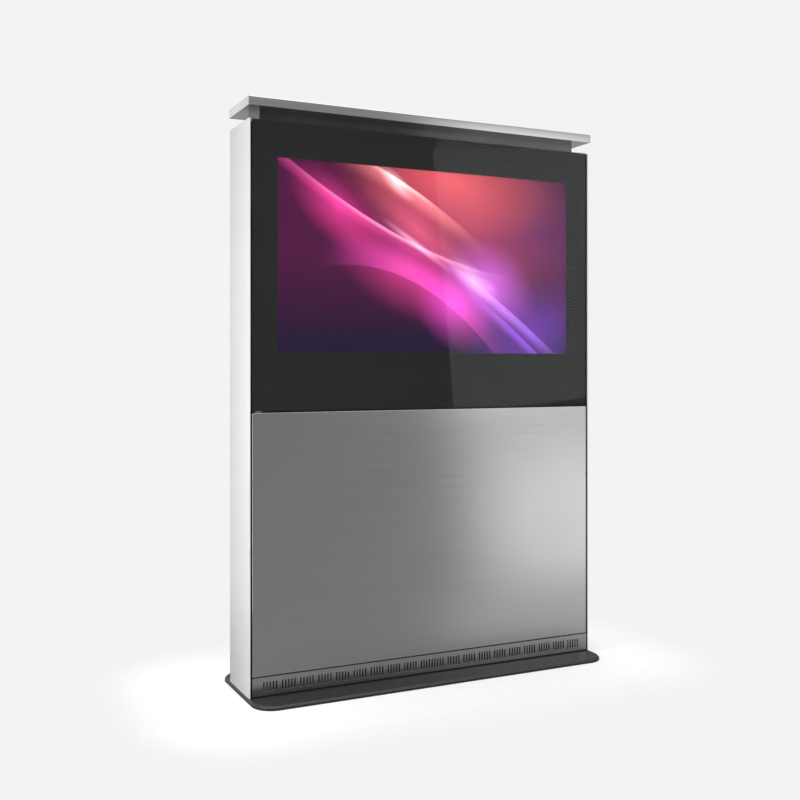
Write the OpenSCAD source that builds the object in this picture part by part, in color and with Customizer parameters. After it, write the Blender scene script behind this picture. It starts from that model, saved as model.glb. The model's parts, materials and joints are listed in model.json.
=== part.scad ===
// Free-standing outdoor touchscreen kiosk: a shallow sheet-metal cabinet on a flat base plate,
// a hinged glass display door over a hinged service door, an intake strip at the foot and a raised hood.
// Millimetres. +Z up, the front faces -Y, the origin is on the floor under the cabinet's centre.

/* [Cabinet] */
// Width over the side panels
body_w = 1420; // [1380:1:1704]
// Height of the cabinet above the base plate
body_h = 2000; // [1940:1:2400]
// Depth from door face to rear panel
body_d = 226; // [210:1:272]
// Thickness of a side panel
side_t = 3; // [2:0.5:4]
// Width of the edge that a side panel folds in at the front
side_lip = 5; // [4:0.5:8]
// Outer radius of that fold
side_r = 4; // [3:0.5:4]
// Open gap between a side panel and a door
reveal = 6; // [5:0.5:10]
// Thickness of rear, top and frame sheet
sheet_t = 2; // [1.5:0.1:3]

/* [Base plate] */
// Thickness of the plate
base_t = 14; // [11:1:20]
// Depth of the plate, front to back
base_d = 460; // [380:1:560]
// How far the plate and the hood stand out past each side
side_out = 4; // [2:1:12]
// Corner radius of the plate, in plan
base_r = 75; // [60:1:90]
// Bevel along its upper edge
base_bevel = 6; // [4:1:8]
// Radius of a floor anchor hole
anchor_r = 7; // [5.5:0.5:9]
// Anchor spacing across the cabinet
anchor_x = 1200; // [1000:1:1300]
// Anchor spacing front to back
anchor_y = 120; // [90:1:150]
// Radius of the cable entry
entry_r = 30; // [24:1:38]

/* [Hood] */
// Height of the hood's edge
hood_t = 31; // [25:1:40]
// How far it stands out past the doors
hood_front = 10; // [5:1:20]
// Height of the neck under it
neck_h = 43; // [34:1:55]
// Set-back of the neck from the door face
neck_front = 43; // [41:1:50]
// Depth of the neck
neck_d = 126; // [122:1:130]
// Set-back of the neck from each side
neck_side = 51; // [40:1:65]

/* [Doors] */
// Height of the split between the doors, above the base plate
split_h = 985; // [900:1:1020]
// Gap between the doors
split_gap = 4; // [3:0.5:6]
// Height of the top of the intake strip, above the base plate
strip_top = 68.5; // [62:0.5:80]
// Gap between the strip and the service door
strip_gap = 2.5; // [2:0.5:4]
// Gap between the strip and the base plate
strip_lift = 5; // [4:0.5:8]
// Sheet thickness of the service door and the strip
skin_t = 2; // [1.5:0.5:3]
// Depth of a door, from its face to its sealing plane
door_depth = 29; // [26:0.5:32]
// Width of a door stile
stile_w = 55; // [50:1:60]
// Height of a door rail
rail_w = 40; // [34:1:46]

/* [Display] */
// Thickness of the front glass
glass_t = 6; // [4:0.5:8]
// Width of the lit picture, 16:9
picture_w = 1210; // [1008:1:1250]
// Height of the lower edge of the picture, above the base plate
picture_low = 1193; // [1160:1:1220]
// Border of the display module round the picture
bezel = 11; // [8:1:14]
// Depth of the display module's chassis
module_d = 20; // [14:1:24]

/* [Pivots and locks] */
// Set-in of the pivot from the door's edge
pivot_in = 22; // [21:0.1:26.5]
// Gap between a pivot bush and the display door's channel in front of it
pivot_back = 0.1; // [0.1:0.1:1.1]
// Radius of a pivot pin
pin_r = 4; // [3:0.5:4]
// Wall of a pivot bush
bush_wall = 1.5; // [1:0.25:1.5]
// Radial play between pin and bush
pin_play = 0.05; // [0.02:0.01:0.08]
// Radius of a lock barrel
lock_r = 9; // [7:0.5:10]
// Radius of a lock plug
plug_r = 6; // [4.5:0.5:7]
// Reach from a lock's axis to the keeper pin
hook_reach = 20; // [18:0.5:22]

/* [Intake slots] */
// Width of a slot
slot_w = 5; // [4:0.5:6]
// Height of a slot
slot_h = 35; // [28:1:40]
// Spacing of the slots in a group
slot_pitch = 11.4; // [9.5:0.1:12]
// Spacing of the groups
group_pitch = 67.9; // [60:0.1:70]
// Least plain sheet left at each end of the row
slot_end = 20; // [15:1:80]

/* [Cooling] */
// Side of a fan's frame
fan_s = 119; // [92:0.1:119]
// Depth of a fan
fan_d = 25.5; // [20:0.5:28]
// Spacing of the fans
fan_step = 298.2; // [150:0.1:380]
// Number of fans
fans = 4; // [4:1:4]

/* [Hidden] */
$fn = 48;

// Main planes
half_w = body_w / 2;
front = -body_d / 2;
back = body_d / 2;
z_low = base_t;
z_top = base_t + body_h;
door_x = half_w - side_lip - reveal;
z_split = z_low + split_h;
glass_low = z_split + split_gap / 2;
service_top = z_split - split_gap / 2;
service_low = z_low + strip_top + strip_gap;

// Door frames
ring_in = 4;
ring_x = door_x - ring_in;
display_ring = [glass_low + 5, z_top - 8];
service_ring = [service_low + ring_in, service_top - ring_in];
seal_plane = front + door_depth;
seal_t = 11.5;
seal_w = 12;
seal_gap = 0.3;
flange_front = seal_plane + seal_gap + seal_t;
flange_back = flange_front + sheet_t;
port_x = ring_x - stile_w;
strip_joint = 0.1;

// Pivots: both doors turn about one upright line near the left edge
bush_r = pin_r + bush_wall;
mask_t = 0.6;
pivot = [-(door_x - pivot_in), front + glass_t + mask_t + sheet_t + pivot_back + bush_r];
block_h = 28;
bracket_t = 5;
bracket_eye = 7;
tongue = [-3.5, 18];
bracket_z = [service_low - strip_gap - bracket_t, z_split - 0.5, z_top - sheet_t - bracket_t - 0.2];

// Cabinet frame
inner_x = half_w - side_t;
liner_x = inner_x - 0.2;
post = [40, 30];
post_x = liner_x - sheet_t - 0.2;
post_front = flange_back + 36.6;
rear_in = back - sheet_t - 0.2;
tube_wall = 2;
pan_t = 3;
pan_top = z_low + pan_t;
pan_front = front + 4;
washer_r = 10;
bolt_y = -flange_back - washer_r - 0.2;
gland_y = bolt_y - washer_r - 1.5;
frame_top = z_top - sheet_t - 0.5;
front_rail_z = frame_top - 66;

// Locks, seen from the right
lock_y = flange_back + 20.6;
lock_z = [service_ring[0] + 151, service_ring[1] - 153, display_ring[0] + 154, display_ring[1] - 146];
hook_x = door_x - 13.5;
hook_t = 3;
hook_play = 2;
keeper_r = 3;
lock_head = 2;

// Neck and hood
neck_x = half_w - neck_side;
neck_y = [front + neck_front, front + neck_front + neck_d];
z_neck = z_top + neck_h;
hood_x = half_w + side_out;
hood_y = [front - hood_front, back];

// Fans
fan_y = (neck_y[0] + neck_y[1]) / 2;
fan_bore = fan_s / 2 - 1.5;
fan_low = z_top - sheet_t - fan_d;

// Cable glands
gland_x = [-45, 0, 45];
gland_r = 8;

// Equipment
kit_y = rear_in - post[1] + 3;
kit_z = [z_low + 226, z_low + 846];
kit_mid = (kit_z[0] + kit_z[1]) / 2;
rail_x = 200;
breaker_w = 36;
breaker_axis = [rail_x + 20 + breaker_w / 2, kit_y - 68];

picture_h = picture_w * 9 / 16;
picture_z = z_low + picture_low;
cell_front = front + glass_t + 0.8;
cell_t = 2;

function fan_x(i) = (i - (fans - 1) / 2) * fan_step;

// A box between two corners, one pair of limits for each axis
module span(x, y, z) {
  translate([x[0], y[0], z[0]]) cube([x[1] - x[0], y[1] - y[0], z[1] - z[0]]);
}

// A drilled hole along Z
module drill(x, y, r, z) {
  translate([x, y, z[0]]) cylinder(h = z[1] - z[0], r = r);
}

// A cylinder along X
module rod_x(r, x, y, z) {
  translate([x[0], y, z]) rotate([0, 90, 0]) cylinder(h = x[1] - x[0], r = r);
}

// A cylinder along Y
module rod_y(r, x, y, z) {
  translate([x, y[0], z]) rotate([-90, 0, 0]) cylinder(h = y[1] - y[0], r = r);
}

// The same solid to the left and to the right
module both_sides() {
  children();
  mirror([1, 0, 0]) children();
}

// A slot with round ends, drawn upright in a plane
module slot_2d(w, h) {
  square([w, h - w], center = true);
  for (s = [-1, 1]) translate([0, s * (h - w) / 2]) circle(r = w / 2);
}

// The row of slots: groups of five either side of a middle group of nine
module slot_row_2d(h) {
  middle = 9;
  start = slot_pitch * (middle - 1) / 2;
  groups = floor((door_x - slot_end - start - slot_w / 2) / group_pitch);
  for (i = [0 : middle - 1]) translate([i * slot_pitch - start, 0]) slot_2d(slot_w, h);
  for (side = [-1, 1], k = [1 : groups], i = [0 : 4])
    translate([side * (start + k * group_pitch - i * slot_pitch), 0]) slot_2d(slot_w, h);
}

// A sheet in a plane of constant Y, from a drawing in X and Z
module upright_sheet(y, t) {
  translate([0, y + t, 0]) rotate([90, 0, 0]) linear_extrude(t) children();
}

// A square tube: a box with a hollow right through along one axis
module tube(x, y, z, axis) {
  w = [for (i = [0 : 2]) i == axis ? -1 : tube_wall];
  difference() {
    span(x, y, z);
    span([x[0] + w[0], x[1] - w[0]], [y[0] + w[1], y[1] - w[1]], [z[0] + w[2], z[1] - w[2]]);
  }
}

// A plate with round corners and a bevel along its upper edge
module bevelled_plate(w, d, r, t, b) {
  low = t - b;
  for (s = [[w, d - 2 * r], [w - 2 * r, d]]) translate([-s[0] / 2, -s[1] / 2, 0]) cube([s[0], s[1], low]);
  for (x = [-1, 1], y = [-1, 1]) translate([x * (w / 2 - r), y * (d / 2 - r), 0]) {
    cylinder(h = low, r = r, $fn = 96);
    translate([0, 0, low]) cylinder(h = b, r1 = r, r2 = r - b, $fn = 96);
  }
  translate([0, d / 2 - r, low]) rotate([90, 0, 0]) linear_extrude(d - 2 * r)
    polygon([[-w / 2, 0], [w / 2, 0], [w / 2 - b, b], [b - w / 2, b]]);
  translate([r - w / 2, 0, low]) rotate([90, 0, 90]) linear_extrude(w - 2 * r)
    polygon([[-d / 2, 0], [d / 2, 0], [d / 2 - b, b], [b - d / 2, b]]);
}

// ---- Base and floor ----

module anchor_places() {
  for (x = [-1, 1], y = [-1, 1]) translate([x * anchor_x / 2, y * anchor_y / 2, 0]) children();
}

module bolt_places() {
  for (x = [-1, 0, 1], y = [-1, 1]) translate([x * (anchor_x / 2 - 60), y * bolt_y, 0]) children();
}

module base_plate() {
  color("#2b2c2c") difference() {
    bevelled_plate(body_w + 2 * side_out, base_d, base_r, base_t, base_bevel);
    anchor_places() drill(0, 0, anchor_r, [-1, base_t + 1]);
    bolt_places() drill(0, 0, 5.1, [2, base_t + 1]);
    for (x = [gland_x[0], gland_x[2]]) drill(x, 0, entry_r, [-1, base_t + 1]);
    span([gland_x[0], gland_x[2]], [-entry_r, entry_r], [-1, base_t + 1]);
  }
}

module floor_pan() {
  color("#1d1e1f") difference() {
    span([-post_x, post_x], [pan_front, rear_in], [z_low, pan_top]);
    anchor_places() drill(0, 0, anchor_r, [0, pan_top + 1]);
    bolt_places() drill(0, 0, 5.3, [0, pan_top + 1]);
    span([-90, 90], [3.5 - gland_y, gland_y - 3.5], [0, pan_top + 1]);
  }
}

module cabinet_bolts() {
  color("#b9bcc0") bolt_places() {
    drill(0, 0, 5, [3, pan_top]);
    drill(0, 0, washer_r, [pan_top, pan_top + 2]);
    translate([0, 0, pan_top + 2]) cylinder(h = 6.4, r = 9.2, $fn = 6);
  }
}

module gland_plate() {
  color("#c6c9cc") difference() {
    span([-105, 105], [-gland_y, gland_y], [pan_top, pan_top + sheet_t]);
    for (x = gland_x) drill(x, 0, gland_r + 0.1, [pan_top - 1, pan_top + sheet_t + 1]);
  }
}

// Three compression glands, each a threaded body, a lock nut under the plate and a domed cap
module cable_glands() {
  z = pan_top + sheet_t;
  color("#26282b") for (x = gland_x) translate([x, 0, 0]) difference() {
    union() {
      drill(0, 0, gland_r, [pan_top - 6, z + 6]);
      translate([0, 0, z]) cylinder(h = 6, r = 13, $fn = 6);
      translate([0, 0, pan_top - 5]) cylinder(h = 5, r = 12, $fn = 6);
      translate([0, 0, z + 6]) cylinder(h = 12, r1 = 11.5, r2 = 8.5);
    }
    drill(0, 0, 4.5, [pan_top - 7, z + 19]);
  }
}

// ---- Cabinet frame ----

module front_posts() {
  color("#1d1e1f") both_sides()
    tube([post_x - post[0], post_x], [post_front, post_front + post[1]], [pan_top, frame_top], 2);
}

module rear_posts() {
  color("#1d1e1f") both_sides()
    tube([post_x - post[0], post_x], [rear_in - post[1], rear_in], [pan_top, frame_top], 2);
}

module cross_rails() {
  x = [post[0] - post_x, post_x - post[0]];
  color("#1d1e1f") {
    for (z = [pan_top + 80, z_split - 15, front_rail_z])
      tube(x, [post_front, post_front + post[1]], [z, z + 30], 0);
    for (z = [pan_top, z_split - 15, frame_top - 30]) tube(x, [rear_in - post[1], rear_in], [z, z + 30], 0);
  }
}

module side_rails() {
  y = [post_front + post[1], rear_in - post[1]];
  color("#1d1e1f") both_sides() for (z = [pan_top + 80, z_split - 15, front_rail_z])
    tube([post_x - 30, post_x], y, [z, z + 30], 1);
}

// Black sheet lining the cabinet's sides from the doors back to the front posts
module door_jambs() {
  color("#111213") both_sides() difference() {
    span([liner_x - sheet_t, liner_x], [front + 3.5, post_front + post[1]], [pan_top, frame_top]);
    for (z = lock_z) rod_x(lock_r + 0.3, [liner_x - sheet_t - 1, liner_x + 1], lock_y, z);
  }
}

// The flange that both seals close on: a strip at each side, joined by three cross strips
module front_frame() {
  x = liner_x - sheet_t;
  y = [flange_front, flange_back];
  rails = [
    [service_low - 12, service_ring[0] + rail_w],
    [service_ring[1] - rail_w, display_ring[0] + rail_w],
    [display_ring[1] - rail_w, frame_top]
  ];
  color("#111213") {
    for (z = rails) span([strip_joint - port_x, port_x - strip_joint], y, z);
    difference() {
      both_sides() span([port_x, x], y, [pan_top, frame_top]);
      for (z = lock_z) span([hook_x - 12, hook_x + 8], [y[0] - 1, y[1] + 1], [z - 14, z + 28]);
      for (z = bracket_z) span(
        [pivot[0] + tongue[0] - 0.3, pivot[0] + tongue[1] + 0.3],
        [y[0] - 1, y[1] + 1], [z - 0.3, z + bracket_t + 0.3]);
    }
  }
}

// ---- Outer panels ----

module side_profile() {
  difference() {
    union() {
      translate([-half_w, front + side_r]) square([side_t, body_d - side_r]);
      translate([side_r - half_w, front]) square([side_lip - side_r, side_t]);
      intersection() {
        translate([side_r - half_w, front + side_r]) circle(r = side_r);
        translate([-half_w, front]) square(side_r);
      }
    }
    translate([side_r - half_w, front + side_r]) circle(r = side_r - side_t);
  }
}

module side_panel_left() {
  color("#c9ccce") translate([0, 0, z_low]) linear_extrude(body_h) side_profile();
}

module side_panel_right() {
  color("#c9ccce") difference() {
    translate([0, 0, z_low]) linear_extrude(body_h) mirror([1, 0]) side_profile();
    for (z = lock_z) rod_x(lock_r + 0.3, [half_w - side_t - 1, half_w + 1], lock_y, z);
  }
}

rear_x = inner_x - 1;
rear_seam = 3;
screw_in = 18;
lower_rear = [pan_top - 1, z_split - rear_seam / 2];
upper_rear = [z_split + rear_seam / 2, z_top - sheet_t - 0.3];

// Places of the rear panel's screws, as columns down both edges and one column in the middle of each rail
function screw_rows(z) = [for (i = [0 : 4]) z[0] + 12 + i * (z[1] - z[0] - 24) / 4];

module rear_panel(z, vent_z) {
  color("#c4c7c9") upright_sheet(back - sheet_t, sheet_t) difference() {
    translate([-rear_x, z[0]]) square([2 * rear_x, z[1] - z[0]]);
    translate([0, vent_z]) slot_row_2d(slot_h);
    for (s = screw_rows(z), x = [-1, 1]) translate([x * (rear_x - screw_in), s]) circle(r = 2.6);
  }
}

module rear_panel_lower() { rear_panel(lower_rear, lower_rear[0] + 80); }

module rear_panel_upper() { rear_panel(upper_rear, upper_rear[1] - 80); }

// Button-head screws with a hexagon socket
module rear_screws() {
  color("#8f9397") for (z = concat(screw_rows(lower_rear), screw_rows(upper_rear)), x = [-1, 1])
    translate([x * (rear_x - screw_in), back, z]) rotate([-90, 0, 0]) difference() {
      union() {
        cylinder(h = 2.5, r1 = 4.8, r2 = 3.6);
        translate([0, 0, -sheet_t]) cylinder(h = sheet_t, r = 2.5);
      }
      translate([0, 0, 1]) cylinder(h = 3, r = 1.7, $fn = 6);
    }
}

module top_cover() {
  color("#c4c7c9") difference() {
    span([-inner_x + 0.3, inner_x - 0.3], [flange_front, back], [z_top - sheet_t, z_top]);
    for (i = [0 : fans - 1]) drill(fan_x(i), fan_y, fan_bore, [z_top - sheet_t - 1, z_top + 1]);
  }
}

// ---- Hood ----

module neck_duct() {
  color("#2a2b2c") difference() {
    span([-neck_x, neck_x], neck_y, [z_top, z_neck]);
    span([sheet_t - neck_x, neck_x - sheet_t], [neck_y[0] + sheet_t, neck_y[1] - sheet_t],
      [z_top - 1, z_neck + 1]);
    translate([0, 0, z_top + neck_h / 2]) upright_sheet(neck_y[1] - sheet_t - 1, sheet_t + 2)
      for (i = [0 : 31]) translate([(i - 15.5) * neck_x / 17, 0])
        square([neck_x / 30, neck_h * 0.5], center = true);
  }
}

hood_wall = 3;

module hood_base() {
  color("#a9acae") span([hood_wall - hood_x, hood_x - hood_wall],
    [hood_y[0] + hood_wall, hood_y[1] - hood_wall], [z_neck, z_neck + 2]);
}

module hood_shell() {
  color("#b4b7b9") difference() {
    span([-hood_x, hood_x], hood_y, [z_neck, z_neck + hood_t]);
    span([hood_wall - hood_x, hood_x - hood_wall],
      [hood_y[0] + hood_wall, hood_y[1] - hood_wall], [z_neck - 1, z_neck + hood_t - hood_wall]);
  }
}

// ---- Intake ----

module vent_strip() {
  z = [z_low + strip_lift, z_low + strip_top];
  color("#9a9d9f") {
    upright_sheet(front, skin_t) difference() {
      translate([-door_x, z[0]]) square([2 * door_x, z[1] - z[0]]);
      translate([0, z_low + 35]) slot_row_2d(slot_h);
    }
    both_sides() span([door_x - skin_t, door_x], [front + skin_t, flange_front], z);
  }
}

filter_y = [front + 13, front + 23];

module filter_tray() {
  y = [filter_y[0] - 2, filter_y[1] + 2];
  color("#8e9194") difference() {
    span([-port_x - 28, port_x + 28], y, [pan_top + 1.6, pan_top + 16]);
    span([-port_x - 29, port_x + 29], filter_y, [pan_top + 3.1, pan_top + 17]);
  }
}

module filter_mat() {
  color("#303335") span([-port_x - 26, port_x + 26], [filter_y[0] + 0.2, filter_y[1] - 0.2],
    [pan_top + 3.1, service_low - 8]);
}

// ---- Seals and pivots ----

module seal(ring) {
  x = port_x + 3;
  z = [ring[0] + rail_w - 3, ring[1] - rail_w + 3];
  color("#151515") difference() {
    span([-x - seal_w, x + seal_w], [flange_front - seal_t, flange_front], [z[0] - seal_w, z[1] + seal_w]);
    span([-x, x], [flange_front - seal_t - 1, flange_front + 1], z);
  }
}

module display_door_seal() { seal(display_ring); }

module service_door_seal() { seal(service_ring); }

module pivot_brackets() {
  color("#55585b") for (z = bracket_z) difference() {
    union() {
      drill(pivot[0], pivot[1], bracket_eye, [z, z + bracket_t]);
      span([pivot[0] + tongue[0], pivot[0] + tongue[1]], [pivot[1], flange_back + 4], [z, z + bracket_t]);
      span([pivot[0] + tongue[0] - 8, pivot[0] + 34], [flange_back, flange_back + 4],
        [z - (z > z_split ? 30 : 12), z + (z > z_split + 9 ? bracket_t : 30)]);
    }
    drill(pivot[0], pivot[1], pin_r, [z - 1, z + bracket_t + 1]);
  }
}

module pivot_pins() {
  reach = 24;
  color("#c9ccd0") {
    drill(pivot[0], pivot[1], pin_r, [bracket_z[0], service_ring[0] + reach]);
    drill(pivot[0], pivot[1], pin_r, [service_ring[1] - reach, display_ring[0] + reach]);
    drill(pivot[0], pivot[1], pin_r, [display_ring[1] - reach, bracket_z[2] + bracket_t]);
  }
}

// ---- Fans ----

spindle_r = 3;

module fan_frames() {
  hub = 20;
  color("#1b1c1d") for (i = [0 : fans - 1]) translate([fan_x(i), fan_y, fan_low]) {
    difference() {
      translate([-fan_s / 2, -fan_s / 2, 0]) cube([fan_s, fan_s, fan_d]);
      drill(0, 0, fan_bore, [-1, fan_d + 1]);
      for (x = [-1, 1], y = [-1, 1]) drill(x * fan_s * 0.44, y * fan_s * 0.44, 2.2, [-1, fan_d + 1]);
    }
    drill(0, 0, hub, [0, 3]);
    drill(0, 0, spindle_r, [0, fan_d - 6]);
    for (a = [0 : 3]) rotate(45 + a * 90) translate([hub - 1, -2.5, 0]) cube([fan_bore - hub + 2, 5, 2.5]);
  }
}

// A rotor: a hub on the frame's spindle, with seven pitched blades
module fan_rotor(i) {
  hub = 19;
  tip = fan_bore - 2;
  high = fan_d - 7;
  color("#232527") translate([fan_x(i), fan_y, fan_low + 4]) difference() {
    intersection() {
      union() {
        drill(0, 0, hub, [0, high]);
        for (a = [0 : 6]) rotate(a * 360 / 7) translate([hub - 2, 0, high / 2]) rotate([52, 0, 0])
          translate([0, -15, -0.9]) cube([tip - hub + 4, 30, 1.8]);
      }
      drill(0, 0, tip, [0, high]);
    }
    drill(0, 0, spindle_r + pin_play, [-1, high - 2]);
  }
}

module fan_rotor_1() { fan_rotor(0); }

module fan_rotor_2() { fan_rotor(1); }

module fan_rotor_3() { fan_rotor(2); }

module fan_rotor_4() { fan_rotor(3); }

// Finger guards over the fans, inside the neck: flat rings joined by two crossed bars
module fan_guards() {
  color("#b6b9bc") for (i = [0 : fans - 1]) translate([fan_x(i), fan_y, z_top]) {
    for (r = [0.25 : 0.23 : 0.95]) difference() {
      drill(0, 0, fan_bore * r + 1, [0, 2]);
      drill(0, 0, fan_bore * r - 1, [-1, 3]);
    }
    for (a = [45, 135]) rotate(a) span([-fan_bore - 3, fan_bore + 3], [-1, 1], [0, 2]);
  }
}

// ---- Equipment ----

module equipment_plate() {
  x = post_x - post[0];
  color("#c2c6c8") {
    span([-x, x], [kit_y, kit_y + sheet_t], kit_z);
    for (z = [kit_z[0], kit_z[1] - sheet_t]) span([-x, x], [kit_y + sheet_t, kit_y + 14], [z, z + sheet_t]);
  }
}

// A fanless computer with cooling fins along its face
module media_player() {
  x = [-430, -210];
  z = [kit_mid - 80, kit_mid + 90];
  y = [kit_y - 52, kit_y];
  color("#3a3d40") difference() {
    span(x, y, z);
    for (i = [1 : 13]) translate([x[0] + i * 15.5, 0, 0])
      span([0, 8], [y[0] - 1, y[0] + 14], [z[0] + 12, z[1] + 1]);
  }
}

module power_supply() {
  x = [-120, 95];
  z = [kit_mid - 50, kit_mid + 65];
  y = [kit_y - 50, kit_y];
  color("#b8bcbe") difference() {
    span(x, y, z);
    for (i = [0 : 9], k = [0 : 3])
      rod_y(3, x[0] + 24 + i * 18, [y[0] - 1, y[0] + 4], z[0] + 24 + k * 18);
  }
}

module din_rail() {
  color("#cfd2d4") {
    span([rail_x, rail_x + 320], [kit_y - 1, kit_y], [kit_mid - 12.5, kit_mid + 12.5]);
    for (s = [-1, 1]) {
      translate([0, 0, kit_mid + s * 12.5]) span([rail_x, rail_x + 320], [kit_y - 7.5, kit_y], [-0.5, 0.5]);
      translate([0, 0, kit_mid + s * 14.75])
        span([rail_x, rail_x + 320], [kit_y - 7.5, kit_y - 6.5], [-2.75, 2.75]);
    }
  }
}

// A housing that clips on the rail, with a raised middle
module rail_housing(x, w) {
  difference() {
    union() {
      span([x, x + w], [kit_y - 52, kit_y - 7.5], [kit_mid - 42, kit_mid + 42]);
      span([x, x + w], [kit_y - 66, kit_y - 52], [kit_mid - 22, kit_mid + 22]);
    }
    for (i = [0 : round(w / 18) - 1], s = [-1, 1])
      rod_y(1.9, x + 9 + i * 18, [kit_y - 53, kit_y - 46], kit_mid + s * 33);
  }
}

toggle_r = 5;

module breaker_body() {
  color("#d8dadb") difference() {
    rail_housing(rail_x + 20, breaker_w);
    rod_x(toggle_r + 0.4, [rail_x + 23, rail_x + 17 + breaker_w], breaker_axis[1] + 3, kit_mid);
  }
}

module breaker_toggle() {
  x = [rail_x + 23.5, rail_x + 16.5 + breaker_w];
  color("#1f4f9c") {
    rod_x(toggle_r, x, breaker_axis[1] + 3, kit_mid);
    translate([0, breaker_axis[1] + 3, kit_mid]) rotate([-20, 0, 0]) span(x, [-16, 0], [-1.6, 1.6]);
  }
}

thermo_x = rail_x + 90;
thermo_w = 36;
knob_r = 2;

module thermostat_body() {
  color("#d3d5d6") difference() {
    rail_housing(thermo_x, thermo_w);
    rod_y(knob_r + pin_play, thermo_x + thermo_w / 2, [kit_y - 67, kit_y - 58], kit_mid);
  }
}

module thermostat_knob() {
  x = thermo_x + thermo_w / 2;
  color("#c23a2c") difference() {
    union() {
      rod_y(knob_r, x, [kit_y - 66.4, kit_y - 60], kit_mid);
      rod_y(11, x, [kit_y - 74, kit_y - 66.4], kit_mid);
    }
    span([x - 1, x + 1], [kit_y - 75, kit_y - 72.5], [kit_mid, kit_mid + 12]);
  }
}

module terminal_blocks() {
  color("#9fa5a3") for (i = [0 : 9]) {
    x = rail_x + 150 + i * 8;
    difference() {
      span([x, x + 7.4], [kit_y - 48, kit_y - 7.5], [kit_mid - 25, kit_mid + 25]);
      for (s = [-1, 1]) rod_y(1.9, x + 3.7, [kit_y - 49, kit_y - 40], kit_mid + s * 15);
    }
  }
}

// Slotted wiring duct below the equipment
module cable_duct() {
  z = [kit_mid - 170, kit_mid - 130];
  y = [kit_y - 40, kit_y];
  color("#aeb2b4") difference() {
    span([-520, 520], y, z);
    span([-521, 521], [y[0] + 1.6, y[1] - 1.6], [z[0] + 1.6, z[1] - 1.6]);
    for (i = [0 : 25]) span([-512 + i * 40.4, -504 + i * 40.4], [y[0] - 1, y[1] - 6], [z[1] - 14, z[1] + 1]);
  }
}

// ---- Display door ----

module front_glass() {
  color([0.12, 0.13, 0.13, 0.6]) span([-door_x, door_x], [front, front + glass_t], [glass_low, z_top]);
}

// Picture-sized window, with a margin
module picture_window(y, margin) {
  span([-picture_w / 2 - margin, picture_w / 2 + margin], y,
    [picture_z - margin, picture_z + picture_h + margin]);
}

module border_mask() {
  y = front + glass_t;
  color("#0c0d0d") difference() {
    span([1.5 - door_x, door_x - 1.5], [y, y + mask_t], [glass_low + 1.5, z_top - 1.5]);
    picture_window([y - 1, y + mask_t + 1], 0);
  }
}

module touch_film() {
  y = front + glass_t;
  color([0.2, 0.22, 0.24, 0.5]) picture_window([y, y + mask_t], -0.2);
}

module display_cell() {
  color("#5a2a86") picture_window([cell_front, cell_front + cell_t], 3);
}

module display_chassis() {
  y = cell_front + cell_t;
  color("#2d2f31") difference() {
    union() {
      picture_window([y, y + module_d], bezel);
      difference() {
        picture_window([cell_front, y], bezel);
        picture_window([cell_front - 1, y + 1], 3.2);
      }
    }
    for (i = [-5 : 5], k = [0 : 1])
      span([i * 100 - 30, i * 100 + 30], [y + module_d - 4, y + module_d + 1],
        [picture_z + 60 + k * 420, picture_z + 66 + k * 420]);
  }
}

module display_electronics() {
  y = cell_front + cell_t + module_d;
  zc = picture_z + picture_h / 2;
  color("#6e7377") difference() {
    span([-230, 230], [y, y + 16], [zc - 120, zc + 120]);
    for (i = [0 : 11]) span([-200 + i * 34, -190 + i * 34], [y + 14, y + 17], [zc - 90, zc + 90]);
  }
}

rail_pos = 330;

// Two upright channels that hang the display module in the door frame
module display_rails() {
  y = cell_front + cell_t + module_d;
  ring = [display_ring[0] + rail_w, display_ring[1] - rail_w];
  color("#7c8185") both_sides() {
    difference() {
      span([rail_pos - 20, rail_pos + 20], [y, y + 10], ring);
      span([rail_pos - 18, rail_pos + 18], [y + 2, y + 11], [ring[0] - 1, ring[1] + 1]);
    }
    for (z = [ring[0], ring[1] - 20]) span([rail_pos - 20, rail_pos + 20], [y - 12, y], [z, z + 20]);
  }
}

// A ring of folded channel, open at the back, with holes for the pivot pins
module door_ring(y, ring) {
  outer = [[-ring_x, ring_x], ring];
  inner = [[-port_x, port_x], [ring[0] + rail_w, ring[1] - rail_w]];
  w = sheet_t;
  difference() {
    span(outer[0], [y, seal_plane], outer[1]);
    span(inner[0], [y - 1, seal_plane + 1], inner[1]);
    difference() {
      span([outer[0][0] + w, outer[0][1] - w], [y + w, seal_plane + 1], [outer[1][0] + w, outer[1][1] - w]);
      span([inner[0][0] - w, inner[0][1] + w], [y + w - 1, seal_plane + 2], [inner[1][0] - w, inner[1][1] + w]);
    }
    drill(pivot[0], pivot[1], pin_r + 1.5, [ring[0] - 1, ring[0] + w + 1]);
    drill(pivot[0], pivot[1], pin_r + 1.5, [ring[1] - w - 1, ring[1] + 1]);
  }
}

// Pivot blocks with their bushes, and the keepers that the hooks catch
module door_fittings(y, ring, locks) {
  block_y = [y + sheet_t, pivot[1] + bush_r + 4];
  for (z = [ring[0] + sheet_t, ring[1] - sheet_t - block_h]) {
    color("#6f7377") difference() {
      span([pivot[0] - 12, pivot[0] + 14], block_y, [z, z + block_h]);
      drill(pivot[0], pivot[1], bush_r, [z - 1, z + block_h + 1]);
    }
    color("#b08d4f") difference() {
      drill(pivot[0], pivot[1], bush_r, [z, z + block_h]);
      drill(pivot[0], pivot[1], pin_r + pin_play, [z - 1, z + block_h + 1]);
    }
  }
  ear_y = lock_y - hook_reach;
  color("#6f7377") for (i = locks) {
    span([hook_x - 8, hook_x - 5], [y + sheet_t, ear_y + 4], [lock_z[i] - 8, lock_z[i] + 8]);
    rod_x(keeper_r, [hook_x - 5, hook_x + 6], ear_y, lock_z[i]);
  }
}

module display_door_frame() {
  color("#1a1b1c") door_ring(front + glass_t + mask_t, display_ring);
}

module display_door_fittings() { door_fittings(front + glass_t + mask_t, display_ring, [2, 3]); }

// ---- Service door ----

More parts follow.
